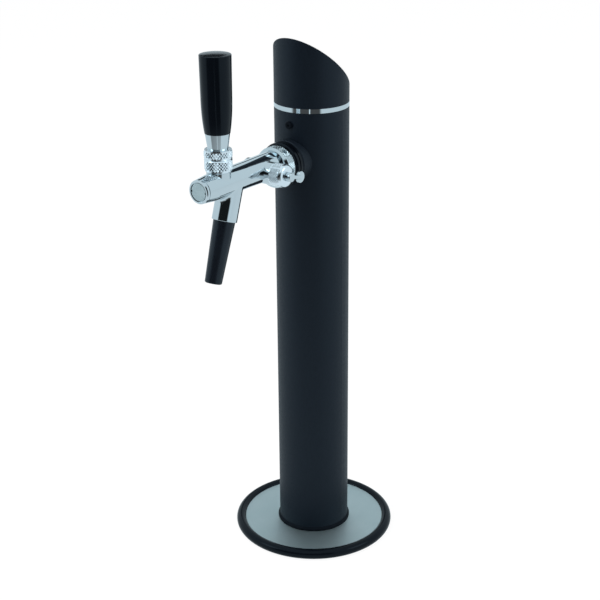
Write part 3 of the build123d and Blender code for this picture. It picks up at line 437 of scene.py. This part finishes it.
def studio_glow():
    """Node group: how bright the studio is in a direction seen from the part."""
    group = bpy.data.node_groups.new("studio_glow", "ShaderNodeTree")
    group.interface.new_socket("Direction", in_out="INPUT", socket_type="NodeSocketVector")
    group.interface.new_socket("Glow", in_out="OUTPUT", socket_type="NodeSocketFloat")
    tree = Tree(group)
    way = tree.vector("NORMALIZE", tree.add("NodeGroupInput").outputs[0])
    turn = math.radians(STUDIO_FRONT)
    front = tree.dot(way, (math.sin(turn), -math.cos(turn), 0))
    side = tree.dot(way, (math.cos(turn), math.sin(turn), 0))
    sideways = tree.calc("ARCTAN2", side, front)
    upward = tree.calc("ARCSINE", tree.dot(way, (0, 0, 1)))
    either_side = tree.calc("ABSOLUTE", sideways)
    gap = tree.patch(sideways, upward, GAP_SIDES, GAP_HEIGHTS)
    slit = tree.patch(sideways, upward, SLIT_SIDES, SLIT_HEIGHTS)
    panels = tree.patch(either_side, upward, PANEL_SIDES, PANEL_HEIGHTS)
    strip = tree.patch(sideways, upward, STRIP_SIDES, STRIP_HEIGHTS)
    lit = tree.calc("MULTIPLY_ADD", panels, PANEL_GLOW, WALL_GLOW)
    outside = tree.calc("MULTIPLY", lit, tree.calc("MULTIPLY_ADD", strip, -STRIP_DARK, 1.0))
    inside = tree.calc("MULTIPLY_ADD", slit, SLIT_GLOW, GAP_GLOW)
    glow = tree.add("ShaderNodeMix", {0: gap, MIX_FIRST: outside, MIX_SECOND: inside})
    tree.add("NodeGroupOutput", {0: glow.outputs[0]})
    return group


def floor_white(group):
    """White for the camera, the studio for glossy surfaces, and matt white for all else."""
    material = bpy.data.materials.new("floor_white")
    material.use_nodes = True
    tree = Tree(material.node_tree)
    tree.nodes.clear()
    matt = tree.add("ShaderNodeBsdfDiffuse", {"Color": FLOOR_COLOR}).outputs[0]
    white = tree.add("ShaderNodeEmission", {"Color": WHITE, "Strength": FLOOR_GLOW}).outputs[0]
    way = tree.vector("SUBTRACT", tree.add("ShaderNodeTexCoord").outputs["Object"], (0, 0, TAP_HEIGHT))
    studio = {"Color": GLOW_COLOR, "Strength": tree.glow(group, way)}
    mirrored = tree.add("ShaderNodeEmission", studio).outputs[0]
    ray = tree.add("ShaderNodeLightPath").outputs
    seen = tree.calc("MULTIPLY", ray["Is Camera Ray"], FLOOR_GLOW_SHARE)
    shiny = tree.calc("MULTIPLY", ray["Is Glossy Ray"], FLOOR_MIRROR_SHARE)
    both = tree.mix_shaders(shiny, tree.mix_shaders(seen, matt, white), mirrored)
    tree.add("ShaderNodeOutputMaterial", {0: both})
    return material


def add_floor(group):
    """A wide white floor at the part's foot."""
    half = FLOOR_HALF
    corners = [(-half, -half, 0), (half, -half, 0), (half, half, 0), (-half, half, 0)]
    mesh = bpy.data.meshes.new("floor")
    mesh.from_pydata(corners, [], [(0, 1, 2, 3)])
    mesh.materials.append(floor_white(group))
    floor = bpy.data.objects.new("floor", mesh)
    bpy.context.scene.collection.objects.link(floor)


def add_world(group):
    """White for the camera, the studio for glossy surfaces, and an even room for all else."""
    world = bpy.data.worlds.new("studio")
    bpy.context.scene.world = world
    world.use_nodes = True
    tree = Tree(world.node_tree)
    tree.nodes.clear()
    white = tree.add("ShaderNodeBackground", {"Color": WHITE}).outputs[0]
    room = tree.add("ShaderNodeBackground", {"Color": ROOM_COLOR, "Strength": ROOM_GLOW}).outputs[0]
    way = tree.add("ShaderNodeTexCoord").outputs["Generated"]
    studio = {"Color": GLOW_COLOR, "Strength": tree.glow(group, way)}
    mirrored = tree.add("ShaderNodeBackground", studio).outputs[0]
    ray = tree.add("ShaderNodeLightPath").outputs
    unseen = tree.mix_shaders(ray["Is Glossy Ray"], room, mirrored)
    tree.add("ShaderNodeOutputWorld", {0: tree.mix_shaders(ray["Is Camera Ray"], unseen, white)})


def area_light(name, azimuth, elevation, distance, size, power):
    """A square soft light that looks at the middle of the part and isn't mirrored."""
    turn, rise = math.radians(azimuth), math.radians(elevation)
    level = math.cos(rise)
    way = Vector((math.sin(turn) * level, -math.cos(turn) * level, math.sin(rise)))
    data = bpy.data.lights.new(name, "AREA")
    data.shape = "SQUARE"
    data.size = size
    data.energy = power
    light = bpy.data.objects.new(name, data)
    light.location = Vector(LIGHT_AIM) + distance * way
    light.rotation_euler = (-way).to_track_quat("-Z", "Y").to_euler()
    light.visible_glossy = False
    bpy.context.scene.collection.objects.link(light)


def add_studio():
    """Floor, surroundings and lamps."""
    group = studio_glow()
    add_floor(group)
    add_world(group)
    area_light("key", azimuth=-40.0, elevation=55.0, distance=2.2, size=1.6, power=22.0)
    area_light("side", azimuth=130.0, elevation=40.0, distance=2.4, size=1.4, power=12.0)


# ---- Outlines of turned pieces ----------------------------------------------------
# An outline is a closed list of rows, each (radius, height, knurl depth).
def plain(*points):
    """Rows without a knurl."""
    return [(radius, height, 0.0) for radius, height in points]


def arc(middle, radius, start, end, steps):
    """Plain rows along a circular arc, angles in degrees."""
    turns = [math.radians(start + (end - start) * step / steps) for step in range(steps + 1)]
    return plain(*((middle[0] + radius * math.cos(turn), middle[1] + radius * math.sin(turn))
                   for turn in turns))


def eased(t, start, end, leave, arrive):
    """Cubic from start to end while t goes from 0 to 1, with the slopes leave and arrive."""
    return ((1 - 3 * t ** 2 + 2 * t ** 3) * start + (3 * t ** 2 - 2 * t ** 3) * end
            + t * (1 - t) ** 2 * leave + t ** 2 * (t - 1) * arrive)


def knurled_band(radius, low, high, pitch, depth):
    """Rows of a diamond-knurled band, with a plain row at root level at each end."""
    steps = 2 * round((high - low) / pitch)
    crests = [(radius, low + (high - low) * step / steps, depth) for step in range(1, steps)]
    return plain((radius - depth, low)) + crests + plain((radius - depth, high))


def teeth(radius, pitch):
    """Even number of vertices round a band, two to each knurl pitch."""
    return 2 * round(2 * math.pi * radius / pitch)


def frame_at(origin, axis, side):
    """Frame in millimetres whose Z lies along axis and whose X lies along side."""
    z, x = Vector(axis), Vector(side)
    turn = Matrix((x, z.cross(x), z)).transposed()
    return Matrix.Translation(origin) @ turn.to_4x4()


NUT_PLACE = frame_at((0, 0, SHANK_Z), axis=(0, -1, 0), side=(1, 0, 0))
GLAND_PLACE = frame_at((0, -FLOW_REACH, FLOW_Z), axis=(1, 0, 0), side=(0, 0, 1))
LEVER_PLACE = frame_at((0, -LEVER_REACH, 0), axis=(0, 0, 1), side=(1, 0, 0))


def turned_mesh(name, rows, count, place):
    """Closed mesh of revolution about the Z axis of place. Along a knurled row, crests and roots
    take turns, the other way round from row to row, which gives the diamonds."""
    points, faces = [], []
    for row, (radius, height, depth) in enumerate(rows):
        for step in range(count):
            r = radius - depth if (row + step) % 2 == 0 else radius
            turn = 2 * math.pi * step / count
            points.append(place @ Vector((r * math.cos(turn), r * math.sin(turn), height)) * MM)
    for row in range(len(rows)):
        above = (row + 1) % len(rows)
        if rows[row][0] == rows[above][0] == 0:
            continue
        knurled = rows[row][2] or rows[above][2]
        for step in range(count):
            beside = (step + 1) % count
            a, b = row * count + step, row * count + beside
            c, d = above * count + beside, above * count + step
            if not knurled:
                faces.append((a, b, c, d))
            elif (row + step) % 2 == 0:
                faces += [(a, b, c), (a, c, d)]
            else:
                faces += [(a, b, d), (b, c, d)]
    mesh = bpy.data.meshes.new(name)
    mesh.from_pydata(points, [], faces)
    return mesh


# ---- Cutters ----------------------------------------------------------------------
def prism(outline, half, origin):
    """A (y, z) outline spread to half on each side of the X origin."""
    count = len(outline)
    points = [(Vector((x, y, z)) + Vector(origin)) * MM for x in (-half, half) for y, z in outline]
    faces = [tuple(range(count))[::-1], tuple(range(count, 2 * count))]
    for step in range(count):
        beside = (step + 1) % count
        faces.append((step, beside, count + beside, count + step))
    mesh = bpy.data.meshes.new("cutter")
    mesh.from_pydata(points, [], faces)
    return mesh


def ball(radius, origin):
    """A ball about a point."""
    mesh = bpy.data.meshes.new("cutter")
    form = bmesh.new()
    place = Matrix.Translation(Vector(origin) * MM)
    bmesh.ops.create_uvsphere(form, u_segments=BALL_SIDES, v_segments=BALL_SIDES // 2,
                              radius=radius * MM, matrix=place)
    form.to_mesh(mesh)
    form.free()
    return mesh


def drill(radius, low, high, place):
    """A round bar between two heights of place."""
    mesh = bpy.data.meshes.new("cutter")
    form = bmesh.new()
    middle = place @ Matrix.Translation((0, 0, (low + high) / 2))
    bmesh.ops.create_cone(form, cap_ends=True, segments=DRILL_SIDES, radius1=radius, radius2=radius,
                          depth=high - low, matrix=middle)
    bmesh.ops.scale(form, vec=(MM, MM, MM), verts=form.verts)
    form.to_mesh(mesh)
    form.free()
    return mesh


# ---- Pieces that replace a CAD node -----------------------------------------------
def close_up(mesh):
    """Merges points that fall together and turns all faces outward."""
    form = bmesh.new()
    form.from_mesh(mesh)
    bmesh.ops.remove_doubles(form, verts=form.verts, dist=MERGE * MM)
    bmesh.ops.recalc_face_normals(form, faces=form.faces)
    form.to_mesh(mesh)
    form.free()


def cut_mesh(piece, cutters):
    """The piece's mesh with the cutters taken away."""
    scene = bpy.context.scene.collection.objects
    helpers = []
    for cutter in cutters:
        close_up(cutter)
        helper = bpy.data.objects.new("cutter", cutter)
        scene.link(helper)
        helpers.append(helper)
        cut = piece.modifiers.new("cut", "BOOLEAN")
        cut.operation = "DIFFERENCE"
        cut.solver = "EXACT"
        cut.object = helper
    done = bpy.data.meshes.new_from_object(piece.evaluated_get(bpy.context.evaluated_depsgraph_get()))
    piece.modifiers.clear()
    for helper in helpers:
        bpy.data.objects.remove(helper)
    return done


def add_piece(name, mesh, material, node, body, cutters=()):
    """Puts a mesh in the scene with its cuts applied, in place of a CAD node."""
    close_up(mesh)
    piece = bpy.data.objects.new(name, mesh)
    bpy.context.scene.collection.objects.link(piece)
    piece.data = cut_mesh(piece, cutters)
    piece.data.materials.clear()
    piece.data.materials.append(material)
    for polygon in piece.data.polygons:
        polygon.use_smooth = True
    piece.data.set_sharp_from_angle(angle=math.radians(CREASE))
    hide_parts(node)
    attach(piece, body)


def spanner_holes():
    """Cutters for the blind holes round the coupling nut's rim."""
    middle = Matrix.Translation((0, 0, (NUT_LOW + NUT_HIGH) / 2))
    outward = Matrix.Rotation(math.pi / 2, 4, "Y")
    holes = []
    for number in range(NUT_HOLES):
        turn = Matrix.Rotation(math.radians(NUT_HOLE_START + number * 360 / NUT_HOLES), 4, "Z")
        place = NUT_PLACE @ middle @ turn @ outward
        holes.append(drill(NUT_HOLE_R, NUT_R - NUT_HOLE_DEPTH, NUT_R + PAST, place))
    return holes


def add_coupling_nut():
    """Union nut with a fine knurl, open at the back, where the shank enters."""
    low, high = NUT_LOW, NUT_HIGH
    step = high - NUT_WALL
    rows = plain((NUT_BORE_R, low), (NUT_R - NUT_CHAMFER, low))
    rows += knurled_band(NUT_R, low + NUT_CHAMFER, high - NUT_BEVEL, FINE_PITCH, FINE_DEPTH)
    rows += plain((NUT_R - NUT_BEVEL, high), (NUT_NECK_R, high), (NUT_NECK_R, step), (NUT_BORE_R, step))
    mesh = turned_mesh("coupling_nut_rim", rows, teeth(NUT_R, FINE_PITCH), NUT_PLACE)
    add_piece("knurled_coupling_nut", mesh, SATIN_CHROME, node="coupling_nut", body="stand",
              cutters=spanner_holes())


def add_gland_nut():
    """Gland nut of the flow control with a fine knurl and a domed end."""
    low, high = GLAND_LOW, GLAND_END
    dome_low = high - GLAND_DOME_R
    face = high - GLAND_WALL
    rows = plain((GLAND_BORE_R, low), (GLAND_R - FINE_DEPTH, low))
    rows += knurled_band(GLAND_R, low + GLAND_MARGIN, dome_low - GLAND_MARGIN, FINE_PITCH, FINE_DEPTH)
    rows += arc((GLAND_R - GLAND_DOME_R, dome_low), GLAND_DOME_R, start=0, end=90, steps=10)
    rows += plain((GLAND_HOLE_R, high), (GLAND_HOLE_R, face), (GLAND_BORE_R, face))
    mesh = turned_mesh("flow_gland_knurl", rows, teeth(GLAND_R, FINE_PITCH), GLAND_PLACE)
    add_piece("knurled_gland_nut", mesh, KNURL_CHROME_PAINTED_LIGHTER, node="flow_gland_nut", body="stand")


def stem_slot():
    """Cutter for the slot that lets the lever's stem come forward by its pull."""
    pull = math.radians(PULL)
    top = 2 * DOME_R
    front = -SLOT_HALF / math.cos(pull)
    outline = [(SLOT_HALF, 0), (SLOT_HALF, top), (front - top * math.tan(pull), top), (front, 0)]
    return prism(outline, SLOT_HALF, (0, -LEVER_REACH, PIVOT_Z))


def add_bonnet():
    """Bonnet over the lever's ball: tapered foot, knurled band and dome, slotted for the stem."""
    low = BONNET_LOW
    roof = low + BONNET_BORE_DEPTH
    band_low = low + BONNET_TAPER
    dome_start = math.degrees(math.atan2(BONNET_BAND_RISE, BONNET_R))
    eye_end = math.degrees(math.acos(BONNET_EYE_R / DOME_R))
    rows = plain((BONNET_EYE_R, roof), (BONNET_BORE_R, roof), (BONNET_BORE_R, low),
                 (BONNET_R - BONNET_TAPER, low), (BONNET_R - COARSE_DEPTH, band_low - COARSE_DEPTH))
    rows += knurled_band(BONNET_R, band_low, BAND_TOP, COARSE_PITCH, COARSE_DEPTH)
    rows += arc((0, PIVOT_Z), DOME_R, dome_start, eye_end, steps=16)
    mesh = turned_mesh("bonnet_knurl", rows, teeth(BONNET_R, COARSE_PITCH), LEVER_PLACE)
    socket = ball(SOCKET_R, (0, -LEVER_REACH, PIVOT_Z))
    add_piece("knurled_bonnet", mesh, KNURL_CHROME_PAINTED_LIGHTER, node="lever_bonnet", body="stand",
              cutters=[stem_slot(), socket])


def add_lever_collar():
    """Knurled collar on the lever, hollow underneath so that it clears the bonnet's dome."""
    hollow = DOME_R + RING_FREE
    mouth = math.degrees(math.asin((RING_LOW - PIVOT_Z) / hollow))
    eye = math.degrees(math.acos(RING_BORE_R / hollow))
    rows = arc((0, PIVOT_Z), hollow, eye, mouth, steps=12)
    rows += plain((RING_R - RING_EDGE / 2, RING_LOW))
    rows += knurled_band(RING_R, RING_LOW + RING_EDGE, RING_TOP - RING_EDGE, COARSE_PITCH, COARSE_DEPTH)
    rows += plain((RING_R - RING_EDGE, RING_TOP), (RING_BORE_R, RING_TOP))
    mesh = turned_mesh("collar_knurl", rows, teeth(RING_R, COARSE_PITCH), LEVER_PLACE)
    add_piece("knurled_lever_collar", mesh, KNURL_CHROME_PAINTED_LIGHTER, node="lever_collar", body="handle")


def grip_side(steps):
    """Rows of the grip's side from its foot to its waist."""
    rise = GRIP_WAIST_H
    slopes = rise * GRIP_LOW_SPREAD, rise * GRIP_MID_SPREAD
    places = [step / steps for step in range(steps + 1)]
    return plain(*((eased(t, GRIP_LOW_R, GRIP_MID_R, *slopes), GRIP_LOW + rise * t) for t in places))


def grip_end():
    """Rows of the grip's rounded edge and crown, up to its axis."""
    crown_r = (GRIP_TOP_R ** 2 + GRIP_CROWN ** 2) / (2 * GRIP_CROWN)
    edge = (GRIP_TOP_R - GRIP_EDGE_R, GRIP_TOP - GRIP_CROWN - GRIP_EDGE_R)
    edge_end = 90 - math.degrees(math.asin(edge[0] / crown_r))
    rows = arc(edge, GRIP_EDGE_R, 0, edge_end, steps=8)
    rows += arc((0, GRIP_TOP - crown_r), crown_r, edge_end, 90, steps=12)[1:-1]
    return rows + plain((0, GRIP_TOP))


def add_grip():
    """The handle grip with a slightly domed top and a bore for the ferrule's stud."""
    bore_top = GRIP_LOW + STUD_BORE_DEPTH
    rows = plain((STUD_BORE_R, GRIP_LOW)) + grip_side(steps=20) + grip_end()
    rows += plain((0, bore_top), (STUD_BORE_R, bore_top))
    mesh = turned_mesh("grip_form", rows, GRIP_SIDES, LEVER_PLACE)
    add_piece("domed_grip", mesh, GLOSS_BLACK, node="handle_grip", body="handle")


add_camera()
dress_nodes()
add_coupling_nut()
add_gland_nut()
add_bonnet()
add_lever_collar()
add_grip()
add_studio()

bpy.context.scene.view_settings.view_transform = "Standard"
